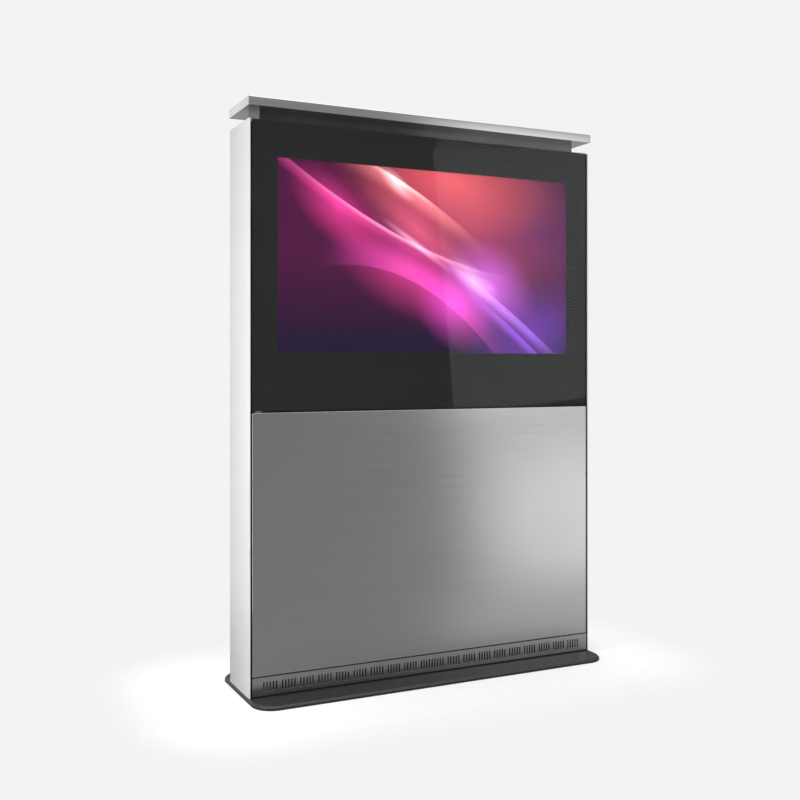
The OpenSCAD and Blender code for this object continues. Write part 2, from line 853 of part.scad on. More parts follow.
module service_door_skin() {
  z = [service_low, service_top];
  color("#9a9d9f") difference() {
    span([-door_x, door_x], [front, front + 13], z);
    span([skin_t - door_x, door_x - skin_t], [front + skin_t, front + 14], [z[0] + skin_t, z[1] - skin_t]);
    drill(pivot[0], pivot[1], pin_r + 1.5, [z[0] - 1, z[1] + 1]);
  }
}

module service_door_frame() {
  x = 36;
  color("#1a1b1c") {
    door_ring(front + skin_t, service_ring);
    both_sides() span([port_x / 3 - x / 2, port_x / 3 + x / 2], [front + skin_t, front + skin_t + 12],
      [service_ring[0] + rail_w, service_ring[1] - rail_w]);
  }
}

module service_door_fittings() { door_fittings(front + skin_t, service_ring, [0, 1]); }

// ---- Locks ----

module lock_barrels() {
  nut_t = 5;
  color("#c9ccd0") for (z = lock_z) difference() {
    union() {
      rod_x(lock_r, [hook_x + hook_t + 1.5, half_w], lock_y, z);
      rod_x(lock_r + 2.5, [half_w, half_w + lock_head], lock_y, z);
      translate([liner_x - sheet_t - nut_t, lock_y, z]) rotate([0, 90, 0])
        cylinder(h = nut_t, r = lock_r + 4, $fn = 6);
    }
    rod_x(plug_r + pin_play, [hook_x, half_w + lock_head + 1], lock_y, z);
  }
}

// The plug with its key slot, and the hook on its inner end, drawn unlocked with the hook up
module lock_hook(z) {
  tip = hook_reach + keeper_r + hook_play;
  arm = keeper_r + hook_play;
  color("#8e9296") difference() {
    union() {
      rod_x(plug_r, [hook_x - 2, half_w + lock_head - 0.3], lock_y, z);
      translate([hook_x, lock_y, z]) rotate([90, 0, 90]) linear_extrude(hook_t) {
        circle(r = plug_r + 3);
        polygon([[arm, 0], [arm + 7, -4], [arm + 7, tip + 6], [-6, tip + 6], [-6, tip], [arm, tip]]);
      }
    }
    span([half_w + lock_head - 2, half_w + lock_head + 1], [lock_y - 0.7, lock_y + 0.7], [z - 3.8, z + 3.8]);
  }
}

module lock_hook_1() { lock_hook(lock_z[0]); }

module lock_hook_2() { lock_hook(lock_z[1]); }

module lock_hook_3() { lock_hook(lock_z[2]); }

module lock_hook_4() { lock_hook(lock_z[3]); }

base_plate();
floor_pan();
cabinet_bolts();
gland_plate();
cable_glands();
front_posts();
rear_posts();
cross_rails();
side_rails();
door_jambs();
front_frame();
side_panel_left();
side_panel_right();
rear_panel_lower();
rear_panel_upper();
rear_screws();
top_cover();
neck_duct();
hood_base();
hood_shell();
vent_strip();
filter_tray();
filter_mat();
display_door_seal();
service_door_seal();
pivot_brackets();
pivot_pins();
fan_frames();
fan_guards();
fan_rotor_1();
fan_rotor_2();
fan_rotor_3();
fan_rotor_4();
equipment_plate();
media_player();
power_supply();
din_rail();
breaker_body();
breaker_toggle();
thermostat_body();
thermostat_knob();
terminal_blocks();
cable_duct();
front_glass();
border_mask();
touch_film();
display_cell();
display_chassis();
display_electronics();
display_rails();
display_door_frame();
display_door_fittings();
service_door_skin();
service_door_frame();
service_door_fittings();
lock_barrels();
lock_hook_1();
lock_hook_2();
lock_hook_3();
lock_hook_4();
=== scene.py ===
# %% [markdown]
# # A touchscreen kiosk, step by step
#
# The kiosk is a shallow metal cabinet on a flat base plate. Its upper front is one sheet of glass with a
# lit picture behind it, its lower front is a brushed door, and a hood stands on a dark neck on top.
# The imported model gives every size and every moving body. Here each visible surface gets its finished
# shape and its material. Everything is in metres, and a piece's place is in its mesh.

# %% Load the frame
import json
import math
import bpy
import numpy as np
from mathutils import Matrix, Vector


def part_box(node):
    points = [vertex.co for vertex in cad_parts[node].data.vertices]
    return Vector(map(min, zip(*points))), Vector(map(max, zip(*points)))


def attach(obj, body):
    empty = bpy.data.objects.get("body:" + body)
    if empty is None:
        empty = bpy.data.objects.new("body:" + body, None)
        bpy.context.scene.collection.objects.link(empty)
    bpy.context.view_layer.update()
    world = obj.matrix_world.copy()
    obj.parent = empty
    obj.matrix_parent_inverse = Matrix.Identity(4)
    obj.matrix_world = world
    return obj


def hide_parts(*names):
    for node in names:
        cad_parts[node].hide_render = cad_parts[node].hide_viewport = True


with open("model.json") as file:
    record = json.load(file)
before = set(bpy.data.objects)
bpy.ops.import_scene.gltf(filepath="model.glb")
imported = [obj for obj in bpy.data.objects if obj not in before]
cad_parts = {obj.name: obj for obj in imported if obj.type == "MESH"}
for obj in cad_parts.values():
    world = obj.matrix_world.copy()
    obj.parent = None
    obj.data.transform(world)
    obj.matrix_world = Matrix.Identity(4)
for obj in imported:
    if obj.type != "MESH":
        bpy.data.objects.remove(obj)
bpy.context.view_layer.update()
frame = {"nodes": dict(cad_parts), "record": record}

NODES = frame["nodes"]

# %% [markdown]
# ## Camera
#
# The view is level, a little left of the front, at about chest height. A level camera keeps the cabinet's
# upright edges parallel, and a small vertical shift puts the horizon a little above the middle.

# %% Camera
scene = bpy.context.scene
EYE = Vector((-1.8123, -3.5695, 1.1667))
LENS = 47.02
TURN = math.radians(25.904)
RISE = -0.0451


def make_camera():
    """A level camera at EYE: a quarter turn about X looks along +Y, and TURN about Z swings it to the right.
    RISE moves the frame by that share of its width, which keeps uprights parallel."""
    data = bpy.data.cameras.new("camera")
    data.lens = LENS
    data.shift_y = RISE
    camera = bpy.data.objects.new("camera", data)
    camera.location = EYE
    camera.rotation_euler = (math.pi / 2, 0, -TURN)
    scene.collection.objects.link(camera)
    scene.camera = camera
    return camera


print("camera at", [round(v, 2) for v in make_camera().location])

# %% [markdown]
# ## Light
#
# Polished metal shows what stands round it, so the studio matters as much as the material. The room is a
# pale grey for the camera and a ramp from dark to light for everything else. A column of cards leans at
# the front right, each at the height where the hood, the glass, the door or the strip mirrors it: the
# straight left side of that column is the slanted line on the glass, and the round glow in it is the bright
# pool on the door. A narrow soft box lights the side panel, two cards behind it are what the panel mirrors,
# and one large box hangs overhead. Area lights are used, hidden from the camera, because a card's brightness
# is then one number and its edges show only in the reflections.

# %% Soft box
def soft_box(name, place, aim, size, power, tilt=0.0, ellipse=False):
    """A rectangular area light at place that looks at aim, turned about its own axis by tilt."""
    data = bpy.data.lights.new(name, "AREA")
    data.shape = "ELLIPSE" if ellipse else "RECTANGLE"
    data.size, data.size_y = size
    data.energy = power
    light = bpy.data.objects.new(name, data)
    light.location = place
    turn = (Vector(aim) - Vector(place)).to_track_quat("-Z", "Y")
    light.rotation_euler = turn.to_euler()
    light.rotation_euler.rotate_axis("Z", tilt)
    light.visible_camera = False
    scene.collection.objects.link(light)
    return light


def card_power(size, radiance, ellipse=False):
    """Watts that give a one-sided card the stated brightness: area times pi times brightness. An ellipse has
    pi / 4 of its rectangle's area."""
    area = size[0] * size[1] * (math.pi / 4 if ellipse else 1)
    return area * math.pi * radiance


print("watts for a square metre at brightness 1:", round(card_power((1, 1), 1.0), 3))

# %% [markdown]
# ### The room
#
# The camera sees one pale grey all round, so the object stands on a quiet ground. The object itself sees a
# ramp, dark at the horizon and bright overhead, as in a studio with dark walls and a lit ceiling: a metal
# cabinet in a room of one grey would look like plastic.

# %% Room
PALE = 0.896
AROUND = [(-0.35, 0.42), (0.0, 0.35), (0.35, 0.32), (0.9, 1.1)]


def studio():
    """The room's light. The grey that the object sees is read from a ramp by the Z of the direction, from -1
    straight down to 1 straight up, and the camera's own rays get the pale grey instead."""
    world = bpy.data.worlds.new("studio")
    scene.world = world
    world.use_nodes = True
    tree = world.node_tree
    tree.nodes.clear()
    seen = tree.nodes.new("ShaderNodeBackground")
    seen.inputs["Color"].default_value = (PALE, PALE, PALE, 1)
    around = tree.nodes.new("ShaderNodeBackground")
    coordinate = tree.nodes.new("ShaderNodeTexCoord")
    split = tree.nodes.new("ShaderNodeSeparateXYZ")
    rise = tree.nodes.new("ShaderNodeMapRange")
    rise.inputs["From Min"].default_value = -1.0
    ramp = tree.nodes.new("ShaderNodeValToRGB")
    for k, (height, grey) in enumerate(AROUND):
        stop = ramp.color_ramp.elements[k] if k < 2 else ramp.color_ramp.elements.new(1.0)
        stop.position = (height + 1) / 2
        stop.color = (grey, grey, grey, 1)
    path = tree.nodes.new("ShaderNodeLightPath")
    mix = tree.nodes.new("ShaderNodeMixShader")
    out = tree.nodes.new("ShaderNodeOutputWorld")
    join = tree.links.new
    join(coordinate.outputs["Generated"], split.inputs[0])
    join(split.outputs["Z"], rise.inputs["Value"])
    join(rise.outputs[0], ramp.inputs["Fac"])
    join(ramp.outputs["Color"], around.inputs["Color"])
    join(path.outputs["Is Camera Ray"], mix.inputs[0])
    join(around.outputs[0], mix.inputs[1])
    join(seen.outputs[0], mix.inputs[2])
    join(mix.outputs[0], out.inputs["Surface"])


studio()
scene.view_settings.view_transform = "Standard"
print("room greys", [grey for _, grey in AROUND])

# %% [markdown]
# ### The cards
#
# Each row is one card: where it hangs, what it looks at, its width and height, its brightness, and whether
# it leans or is round. A mirror shows the point as far behind it as the card is before it, so a card that
# should show at a height on the front hangs at twice that distance from the eye's own height.

# %% Cards
LEAN = math.radians(5.2)
CARDS = [
    ("top_card", (2.94, -3.5, 3.22), (2.94, 0, 3.22), (2.3, 0.7), 0.85, LEAN, False),
    ("upper_card", (3.02, -3.5, 1.88), (3.02, 0, 1.88), (2.3, 1.98), 1.45, LEAN, False),
    ("lower_card", (3.25, -3.49, 0.17), (3.25, 0, 0.17), (2.3, 1.25), 0.76, LEAN, False),
    ("low_glow", (3.15, -3.45, 0.0), (0.6, -0.1, 0.5), (1.5, 1.1), 0.5, 0, True),
    ("low_card", (3.25, -3.5, -1.15), (3.25, 0, -1.15), (2.6, 1.4), 0.36, LEAN, False),
    ("left_box", (-1.8, -0.45, 1.1), (-0.71, 0, 1.05), (0.5, 2.2), 4.6, 0, False),
    ("rear_card", (-1.65, 3.0, 1.07), (-0.7, 0, 1.07), (1.4, 2.85), 0.8, 0, False),
    ("rear_high_card", (-1.65, 3.0, 2.9), (-0.7, 0, 2.0), (1.4, 0.8), 0.85, 0, False),
    ("top_box", (0.0, -0.6, 5.2), (0, -0.3, 0), (4.5, 4.5), 2.0, 0, False),
]
for name, place, aim, size, brightness, lean, ellipse in CARDS:
    soft_box(name, place, aim, size, card_power(size, brightness, ellipse), lean, ellipse)

# %% [markdown]
# ## A small kit for materials
#
# Every finish is built from the same few moves: take the object's own coordinates, stretch them, run them
# through noise, and use the result to vary colour, roughness and a little bump. With it each material
# below reads like a recipe.

# %% Nodes
class Nodes:
    """One material, and a short way to add nodes to it and to join them."""

    def __init__(self, name, colour=(0.8, 0.8, 0.8), roughness=0.5, metallic=0.0):
        self.material = bpy.data.materials.new(name)
        self.material.use_nodes = True
        self.tree = self.material.node_tree
        self.shader = self.tree.nodes["Principled BSDF"]
        self.point = self.node("ShaderNodeTexCoord").outputs["Object"]
        self.set("Base Color", (*colour, 1))
        self.set("Roughness", roughness)
        self.set("Metallic", metallic)
        self.height = None

    def node(self, kind, **inputs):
        """A new node, with its inputs set by name. A socket is joined, and a value is typed in."""
        made = self.tree.nodes.new(kind)
        for key, value in inputs.items():
            self.feed(made.inputs[key.replace("_", " ")], value)
        return made

    def feed(self, socket, value):
        """Joins a socket, or types in a plain value."""
        if isinstance(value, bpy.types.NodeSocket):
            self.tree.links.new(value, socket)
        else:
            socket.default_value = value

    def set(self, name, value):
        """Sets an input of the main shader."""
        self.feed(self.shader.inputs[name], value)


print("nodes ready")

# %% [markdown]
# ### Patterns
#
# A real surface differs from place to place at several scales at once: hairlines or flake that only show
# close up, and clouds of handling that show from afar. Noise gives both, and a range node says how much of
# it is let through.

# %% Patterns
class Patterns(Nodes):
    """Noise, cells, ranges, sums and blends of a material."""

    def stretched(self, scale=(1, 1, 1), turn=(0, 0, 0), shift=(0, 0, 0)):
        """The object's coordinates, moved, turned and then scaled."""
        made = self.node("ShaderNodeMapping", Vector=self.point)
        made.inputs["Location"].default_value = shift
        made.inputs["Rotation"].default_value = turn
        made.inputs["Scale"].default_value = scale
        return made.outputs[0]

    def noise(self, scale, detail=3.0, roughness=0.55, where=None):
        """Smooth random variation from 0 to 1."""
        made = self.node("ShaderNodeTexNoise", Vector=where or self.point, Scale=scale, Detail=detail)
        made.inputs["Roughness"].default_value = roughness
        return made.outputs["Fac"]

    def cells(self, scale, where=None, feature="F1"):
        """Distance to the nearest of many scattered points."""
        made = self.node("ShaderNodeTexVoronoi", Vector=where or self.point, Scale=scale)
        made.feature = feature
        return made.outputs["Distance"]

    def spread(self, value, low, high, start=0.0, end=1.0):
        """Carries a value from start to end over to low to high in proportion, and holds the ends."""
        made = self.node("ShaderNodeMapRange", Value=value)
        for key, number in (("From Min", start), ("From Max", end), ("To Min", low), ("To Max", high)):
            made.inputs[key].default_value = number
        return made.outputs[0]

    def sum(self, operation, a, b=0.0, c=0.0):
        """One step of arithmetic on numbers."""
        made = self.node("ShaderNodeMath")
        made.operation = operation
        for socket, value in zip(made.inputs, (a, b, c)):
            self.feed(socket, value)
        return made.outputs[0]

    def blend(self, share, first, second, kind="MIX"):
        """Two colours, mixed by a share."""
        made = self.node("ShaderNodeMix")
        made.data_type = "RGBA"
        made.blend_type = kind
        colours = [s for s in made.inputs if s.type == "RGBA"]
        self.feed(made.inputs[0], share)
        for socket, value in zip(colours, (first, second)):
            self.feed(socket, value if isinstance(value, bpy.types.NodeSocket) else (*value, 1))
        return [s for s in made.outputs if s.type == "RGBA"][0]

    def haze(self, share=0.12, scale=3.0):
        """The faint unevenness of a handled surface: a soft cloud that reaches share where it is thickest."""
        return self.spread(self.noise(scale, 5.0, 0.6), 0.0, share, 0.42, 0.75)


print("patterns ready")

# %% [markdown]
# ### Relief and edges
#
# Fine relief is bump: it turns the surface's direction and leaves the shape alone. Edges matter as much. A
# real edge has a small radius that catches a glint, and it is where a coat wears first. The bevel node
# blends the direction of the faces on both sides of an edge, which gives the glint, and how far that blend
# leans from the face itself says how near the edge is, which gives the wear, and on the silver paint, the
# brushed metal and the powder coat also a painted highlight.

# %% Relief and edges
class Finish(Patterns):
    """A material with relief, edges rounded for the light, and a measure of how near an edge is."""

    def rounded_normal(self, radius, samples=4):
        """The surface's direction, blended across every edge as if the edge had this radius."""
        made = self.node("ShaderNodeBevel", Radius=radius)
        made.samples = samples
        return made.outputs[0]

    def soften(self, radius=0.0006):
        """Rounds every edge for the light alone, so that it catches a glint."""
        self.height = self.rounded_normal(radius)
        self.set("Normal", self.height)

    def edge(self, radius=0.0025):
        """Near 0 on a flat and 1 at a corner: the cosine between the rounded direction and the surface's own,
        carried from 0.98 down to 0.80 over to 0 up to 1."""
        lean = self.node("ShaderNodeVectorMath")
        lean.operation = "DOT_PRODUCT"
        self.feed(lean.inputs[0], self.rounded_normal(radius, 6))
        self.feed(lean.inputs[1], self.node("ShaderNodeNewGeometry").outputs["Normal"])
        return self.spread(lean.outputs["Value"], 1.0, 0.0, 0.80, 0.98)

    def bump(self, height, distance, strength=1.0):
        """Adds relief of this depth, in metres, on top of any already there."""
        made = self.node("ShaderNodeBump", Height=height)
        made.inputs["Distance"].default_value = distance
        made.inputs["Strength"].default_value = strength
        if self.height is not None:
            self.feed(made.inputs["Normal"], self.height)
        self.height = made.outputs[0]
        self.set("Normal", self.height)


print("relief and edges ready")

# %% [markdown]
# ## Painted and anodised sheet
#
# The side panels are satin silver paint. Up close such paint has a very fine orange-peel skin and metal
# flake. The door, the strip and the hood are aluminium, brushed along their length and then anodised, so
# they show hairlines all in one direction. Both are the same trick: noise that is round for the
# paint and stretched along X for the brushing.

# %% Silver paint
def silver_paint(name="satin_silver"):
    """Satin silver paint: flake in the colour, orange peel in the relief, and a soft haze. Painted shade is
    dark at the foot and gone at 0.46 m, with its upper limit moved by noise, and painted shade makes the rear
    half a little darker. The edges are painted paler: partly wear, partly a painted highlight."""
    f = Finish(name, metallic=0.08)
    flake = f.spread(f.noise(1800, 2.0), 0.0, 1.0, 0.35, 0.65)
    tone = f.blend(flake, (0.70, 0.71, 0.72), (0.78, 0.79, 0.80))
    haze = f.haze(0.10, 2.2)
    place = f.node("ShaderNodeSeparateXYZ", Vector=f.point)
    cloud = f.sum("MULTIPLY", f.noise(7.0, 5.0, 0.6), 0.25)
    # Painted shade near the floor: darker at the foot and gone at 0.46 m, its upper limit moved by noise.
    foot = f.spread(f.sum("ADD", place.outputs["Z"], cloud), 0.34, 0.0, 0.05, 0.46)
    # Painted shade: darker towards the back of the panel.
    rear = f.spread(place.outputs["Y"], 0.0, 0.30, -0.11, 0.11)
    tone = f.blend(haze, tone, (0.60, 0.60, 0.60))
    # Edges painted paler: partly wear, partly a painted highlight.
    tone = f.blend(f.sum("MULTIPLY", f.edge(0.0012), 0.4), tone, (0.88, 0.88, 0.88))
    f.set("Base Color", f.blend(f.sum("ADD", foot, rear), tone, (0.2, 0.2, 0.2)))
    f.set("Roughness", f.sum("ADD", f.spread(f.noise(5.0, 4.0), 0.34, 0.42), haze))
    f.bump(f.noise(420, 2.0), 0.00006)
    return f.material


SILVER = silver_paint()
print(SILVER.name)

# %% [markdown]
# ### Brushed aluminium
#
# A brushing belt leaves scratches that are as long as the sheet and a fraction of a millimetre wide. Two
# layers of stretched noise do it: hairlines, and broader bands where the belt pressed harder.

# %% Brushed aluminium
HAIRS, HAIRS_ALONG = 1500.0, 9.0
BANDS, BANDS_ALONG = 160.0, 1.5


def brushed(name, dark, light, rough=(0.17, 0.22), along=0):
    """Brushed and anodised aluminium. The noise has a high scale across and a low one along the brushing, so
    that it draws hairlines. The grain is six tenths hairline and four tenths band. The edges are painted
    paler: partly wear, partly a painted highlight."""
    f = Finish(name, metallic=1.0)
    fine, broad = [HAIRS] * 3, [BANDS] * 3
    fine[along], broad[along] = HAIRS_ALONG, BANDS_ALONG
    hair = f.noise(1.0, 2.0, 0.6, f.stretched(tuple(fine)))
    band = f.noise(1.0, 3.0, 0.6, f.stretched(tuple(broad)))
    grain = f.sum("ADD", f.sum("MULTIPLY", hair, 0.6), f.sum("MULTIPLY", band, 0.4))
    grain = f.spread(grain, 0.0, 1.0, 0.3, 0.7)
    haze = f.haze(0.04, 1.7)
    metal = f.blend(grain, dark, light)
    # Edges painted paler: partly wear, partly a painted highlight.
    worn_and_highlit = f.blend(f.sum("MULTIPLY", f.edge(0.001), 0.35), metal, (0.68, 0.685, 0.69))
    f.set("Base Color", f.blend(haze, worn_and_highlit, (0.36, 0.36, 0.36)))
    f.set("Roughness", f.sum("ADD", f.spread(grain, *rough), haze))
    f.bump(hair, 0.00002, 0.5)
    return f.material


DOOR_GREY = brushed("anodised_grey", (0.395, 0.40, 0.405), (0.435, 0.44, 0.445))
HOOD_GREY = brushed("anodised_silver", (0.50, 0.505, 0.51), (0.58, 0.585, 0.59), (0.17, 0.22))
print(DOOR_GREY.name, HOOD_GREY.name)

# %% [markdown]
# ## Powder coat
#
# The base plate has a textured charcoal powder coat that hides shoe scuffs, and the frame behind the
# doors a smoother satin black one. The powder melts into small pebbles, so the same noise that raises them
# also darkens the hollows between them.

# %% Powder coat
def powder(name, colour, worn_and_highlit, grain=900.0, depth=0.00012, rough=(0.45, 0.6)):
    """Powder coat: pebbled relief. A paler colour shows where a cloud of rubbing times the pebble's height,
    or the nearness of an edge, is high: the rubbing is wear, and the edges are partly wear and partly a
    painted highlight."""
    f = Finish(name)
    f.soften()
    pebble = f.noise(grain, 2.0, 0.5)
    rubbed = f.spread(f.noise(7.0, 6.0, 0.7), 0.0, 0.5, 0.5, 0.8)
    # Edges painted paler: partly wear, partly a painted highlight.
    edge = f.sum("MULTIPLY", f.edge(0.002), f.spread(f.noise(40.0, 4.0, 0.6), 0.1, 0.8, 0.35, 0.65))
    f.set("Base Color", f.blend(f.sum("MAXIMUM", f.sum("MULTIPLY", rubbed, pebble), edge), colour, worn_and_highlit))
    f.set("Roughness", f.spread(pebble, *rough, 0.3, 0.7))
    f.bump(pebble, depth)
    return f.material


CHARCOAL = powder("charcoal_powder", (0.015, 0.015, 0.0155), (0.045, 0.045, 0.045), 700.0, 0.0002,
                  (0.38, 0.5))
BLACK_COAT = powder("black_powder", (0.010, 0.010, 0.011), (0.022, 0.022, 0.022), 1200.0, 0.00006,
                    (0.38, 0.5))
print(CHARCOAL.name, BLACK_COAT.name)

# %% [markdown]
# ## Glass and the black print
#
# Toughened glass is clear with the faint green of its iron. A glass shader bends every ray, the lights' rays
# too, and few of those would find their way to the print behind. So rays that ask whether a light is in
# sight go straight through, as they nearly do in a flat sheet. The black border is baked on the back of the
# glass: it has no gloss of its own and looks deep.

# %% Clear glass
def clear_glass(name="toughened_glass"):
    """Clear glass with a green tint, the least trace of fingerprints in its tint and the faint waviness that
    the rollers of a toughening oven leave. Its anti-glare coat mirrors less than bare glass, so the index is
    low. Light on its way to the print behind goes straight through, as in a sheet with two flat faces."""
    f = Finish(name, (0.93, 0.955, 0.945), 0.0)
    f.set("Transmission Weight", 1.0)
    f.set("IOR", 1.2)
    smear = f.spread(f.noise(5.0, 3.0, 0.6), 0.0, 1.0, 0.5, 0.8)
    f.set("Base Color", f.blend(smear, (0.93, 0.955, 0.945), (0.90, 0.925, 0.915)))
    f.bump(f.noise(1.0, 1.0, 0.5, f.stretched((9.0, 1.0, 1.2))), 0.00004)
    straight = f.node("ShaderNodeBsdfTransparent")
    straight.inputs["Color"].default_value = (0.90, 0.92, 0.91, 1)
    passes = f.node("ShaderNodeMixShader")
    f.feed(passes.inputs[0], f.node("ShaderNodeLightPath").outputs["Is Shadow Ray"])
    f.feed(passes.inputs[1], f.shader.outputs[0])
    f.feed(passes.inputs[2], straight.outputs[0])
    f.feed(f.tree.nodes["Material Output"].inputs["Surface"], passes.outputs[0])
    return f.material


GLASS = clear_glass()
print(GLASS.name)

# %% [markdown]
# ### The printed border
#
# The border is enamel, screened on as fine dots and baked. Seen through the glass only the dots' faint
# change of tone is left, so the material varies in colour and has neither gloss nor relief.

# %% Black print
def black_print(name="black_print"):
    """Baked enamel: near black, with a fine screen-print dot in the colour only."""
    f = Finish(name, roughness=0.35)
    f.set("Specular IOR Level", 0.0)
    dot = f.cells(1400.0)
    shade = f.spread(dot, 0.0, 1.0, 0.2, 0.8)
    f.set("Base Color", f.blend(shade, (0.0205, 0.0215, 0.021), (0.027, 0.0275, 0.027)))
    return f.material


PRINT = black_print()
print(PRINT.name)

# %% [markdown]
# ## A small kit for shapes
#
# Almost every piece of a cabinet is a plate with worked edges or a bent strip. Both are rings of points, one
# ring joined to the next, so one routine that joins rings can build them all. The rings are worked out as
# whole arrays. A shape is drawn lying flat first, and then turned to face its own way.

# %% Facing
FACING = {
    "up": ((1, 0, 0), (0, 1, 0), (0, 0, 1)),
    "front": ((1, 0, 0), (0, 0, -1), (0, 1, 0)),
}


def face_to(points, facing, place=(0.0, 0.0, 0.0)):
    """Turns local points, whose +Z is outwards, to face one way, and moves them to place: each row of the
    facing's table gives one world axis as a sum of the local ones."""
    return points @ np.array(FACING[facing], float).T + np.array(place, float)


print("facings", ", ".join(FACING))

# %% Rings
def joined(rings, caps=(True, True), loop=False):
    """(points, faces) of rings with as many points each: point i of ring k is joined to point i + 1 and to
    ring k + 1 by a four-sided face. The first and last ring are closed by one face each, or joined in a
    loop."""
    count, around = rings.shape[:2]
    k, i = np.meshgrid(np.arange(count if loop else count - 1), np.arange(around), indexing="ij")
    following, onward = (i + 1) % around, (k + 1) % count
    quads = np.stack([k * around + i, k * around + following,
                      onward * around + following, onward * around + i], -1).reshape(-1, 4).tolist()
    if caps[0]:
        quads.append(list(range(around))[::-1])
    if caps[1]:
        quads.append(list(range((count - 1) * around, count * around)))
    return rings.reshape(-1, 3), quads


def copies(shape, offsets):
    """A shape of four-sided faces again at each offset, as one mesh: copy n has its points moved by offset n,
    and its face numbers raised by n times the number of points."""
    points, faces = shape
    offsets = np.asarray(offsets, float)
    moved = (points[None] + offsets[:, None]).reshape(-1, 3)
    raised = np.asarray(faces)[None] + (np.arange(len(offsets)) * len(points))[:, None, None]
    return moved, raised.reshape(-1, 4).tolist()


print("rings ready")

# %% [markdown]
# ### From a shape to a piece
#
# A finished piece is a mesh, a material, and the moving body it rides on. Faces that meet at a shallow angle
# are shaded smooth and the rest stay sharp. Some pieces also get their sharp edges bevelled.

# %% Pieces
MADE = []
SHARP = math.radians(35)


def piece(name, shape, body, material, cad=(), soften=0.0, steps=2):
    """Makes the mesh, gives it its material and its body, and says which CAD nodes it replaces."""
    points, faces = shape
    mesh = bpy.data.meshes.new(name)
    mesh.from_pydata(points.tolist(), [], faces)
    mesh.validate()
    mesh.materials.append(material)
    mesh.shade_smooth()
    mesh.set_sharp_from_angle(angle=SHARP)
    made = bpy.data.objects.new(name, mesh)
    scene.collection.objects.link(made)
    if soften:
        edge = made.modifiers.new("soft_edges", "BEVEL")
        edge.width, edge.segments, edge.limit_method = soften, steps, "ANGLE"
        edge.angle_limit = SHARP
        edge.harden_normals = True
    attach(made, body)
    if cad:
        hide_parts(*cad)
    MADE.append(made)
    return made


print("sharp above", round(math.degrees(SHARP)), "degrees")

# %% [markdown]
# ### Plates and their edges
#
# A plate is one outline, moved in a little at each level. The list of moves and levels is the profile of its
# edge, so a ground glass edge, a bent tray and a rounded lip differ only in their profile.

# %% Plates
def outline(width, height, corner, steps=8):
    """Points of a rectangle with round corners, and the outward direction at each. Each corner is a quarter
    circle: its centre, plus the corner radius times the cosine and sine of an angle."""
    angle = np.linspace(0, math.pi / 2, steps + 1)
    turns = (angle[None] + np.arange(4)[:, None] * math.pi / 2).ravel()
    out = np.stack([np.cos(turns), np.sin(turns)], -1)
    sign = np.repeat(np.array([[1, 1], [-1, 1], [-1, -1], [1, -1]]), steps + 1, axis=0)
    centre = sign * np.array([width / 2 - corner, height / 2 - corner])
    return centre + corner * out, out


def plate(width, height, corner, profile, steps=8):
    """A plate seen from above. Each profile step moves the outline in along its outward direction by the
    step's first number, at the level of its second."""
    edge, out = outline(width, height, corner, steps)
    profile = np.array(profile, float)
    flat = edge[None] - profile[:, None, :1] * out[None]
    level = np.broadcast_to(profile[:, None, 1:], flat.shape[:2] + (1,))
    return joined(np.concatenate([flat, level], -1))


print("plate ready")

# %% [markdown]
# ### Two edge profiles
#
# A ground glass edge is rounded on both sides of a solid plate. A bent tray is open at the back, so its
# profile starts inside and goes round the lip. Both end with one more step inwards at the same level, which
# keeps the smooth shading of the edge from spilling over the flat face.

# %% Edge profiles
def rounded(low, high, radius, steps=4, hold=0.0006):
    """Profile of a solid plate from its back to its face. Both edges are quarter circles: moved in by the
    radius times one minus the sine or cosine of an angle. A last step further in holds the flat flat."""
    a = np.linspace(0, math.pi / 2, steps + 1)
    back = np.stack([radius * (1 - np.sin(a)), low + radius * (1 - np.cos(a))], -1)
    front = np.stack([radius * (1 - np.cos(a)), high - radius * (1 - np.sin(a))], -1)
    return np.concatenate([[[radius + hold, low]], back, front, [[radius + hold, high]]])


def tray(wall, depth, radius, steps=5, hold=0.0006):
    """Profile of a folded sheet tray: across the inside one wall below the face, down the inner wall, out at
    the lip, up the outer wall and round the bent edge, which is a quarter circle."""
    a = np.linspace(0, math.pi / 2, steps + 1)
    bend = np.stack([radius * (1 - np.cos(a)), -radius * (1 - np.sin(a))], -1)
    inside = [[wall + hold, -wall], [wall, -wall], [wall, -depth], [0.0, -depth]]
    return np.concatenate([inside, bend, [[radius + hold, 0.0]]])


print("edge profiles", rounded(0, 1, 0.1).shape, tray(0.1, 1, 0.1).shape)

# %% [markdown]
# ### Uprights, and plates that fit a node
#
# A bent sheet that runs the whole height is its section carried upwards. For the rest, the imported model
# already says how wide and how high each face is, so a plate takes its size and place from its node and
# can't drift away from it.

# %% Uprights and nodes
def upright(section, low, high):
    """A section in X and Y, drawn anticlockwise, carried straight up from low to high."""
    section = np.array(section, float)
    levels = np.array([low, high])
    rings = np.concatenate([np.broadcast_to(section, (2,) + section.shape),
                            np.broadcast_to(levels[:, None, None], (2, len(section), 1))], -1)
    return joined(rings)


def corners_of(node):
    """The low and high corner of a CAD node, as arrays."""
    return tuple(np.array(corner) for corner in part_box(node))


SPANS = {"up": (0, 1, 2), "front": (0, 2, 1)}


def facing_plate(node, corner, profile, facing, level):
    """A plate that fills a node's outline as seen from one side, with its face at level. SPANS gives the two
    axes that the plate spans and the one it faces along."""
    low, high = corners_of(node)
    centre, size = (low + high) / 2, high - low
    a, b, normal = SPANS[facing]
    place = centre.copy()
    place[normal] = level
    points, faces = plate(size[a], size[b], corner, profile)
    return face_to(points, facing, place), faces


print("glass corners", [np.round(corner, 3).tolist() for corner in corners_of("front_glass")])

# %% [markdown]
# ## Floor
#
# A pale floor that fades into the room's grey has no far edge to draw the eye. It is one flat disc, and its
# material turns see-through with distance from the base plate, so that it meets the background without a
# line and still takes the soft shadow of the cabinet.

# %% Floor finish
FADE_OUT = 0.48


